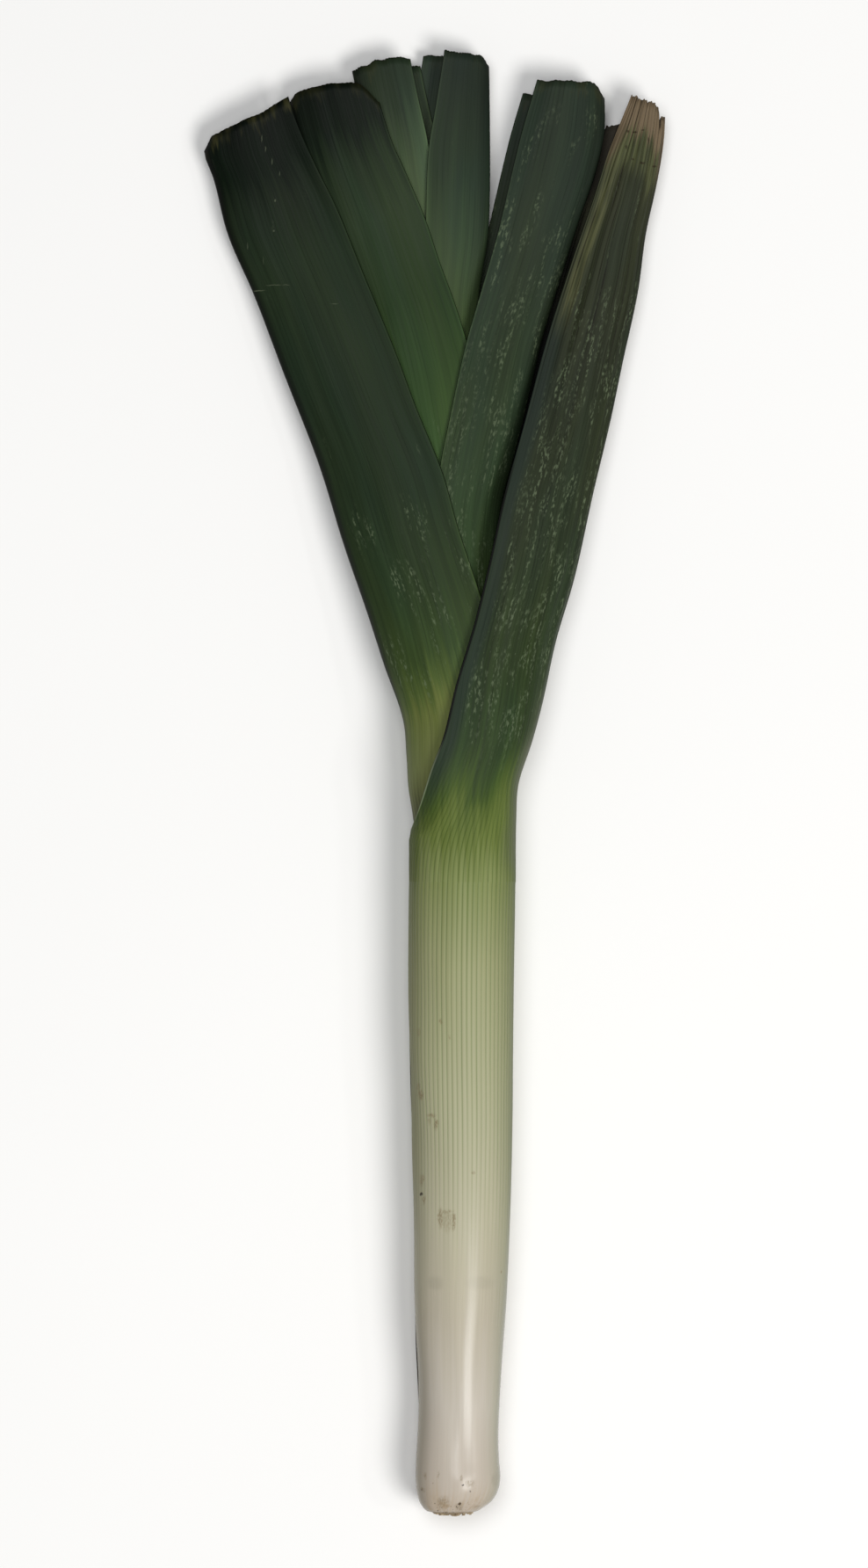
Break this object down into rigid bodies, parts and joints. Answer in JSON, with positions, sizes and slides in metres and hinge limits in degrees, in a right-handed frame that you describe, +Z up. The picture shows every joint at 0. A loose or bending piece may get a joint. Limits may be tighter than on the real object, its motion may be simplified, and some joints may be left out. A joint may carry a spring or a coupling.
{
  "type": "leek",
  "caption": "Whole leek lying flat: pale shank with a trimmed root end, opening into a fan of keeled green leaves cut across at their tips.",
  "frame": {"origin": "on the surface that the leek lies on, under the middle of its bounding box", "axes": "+Y from the root end to the leaf tips, +X to the leek's right, +Z up from the surface"},
  "size_m": [0.1573, 0.5001, 0.0362],
  "materials": {
    "shank_and_oldest_leaf": "smooth ribbed skin, cream at the root end, pale green at the neck, dark blue-green in the blade, satin gloss",
    "leaf": "dark blue-green waxy blade with fine veins and pale flecks, satin",
    "young_leaf": "mid green waxy blade with fine veins, satin",
    "root": "rough tan disc with cut root stubs, matt"
  },
  "bodies": {
    "root": {"shaft_with_outer_leaf": "shank_and_oldest_leaf", "leaf_left_1": "leaf", "leaf_right_2": "leaf", "leaf_left_2": "leaf", "leaf_right_3": "young_leaf", "leaf_left_3": "young_leaf", "root_plate": "root"}
  },
  "joints": []
}
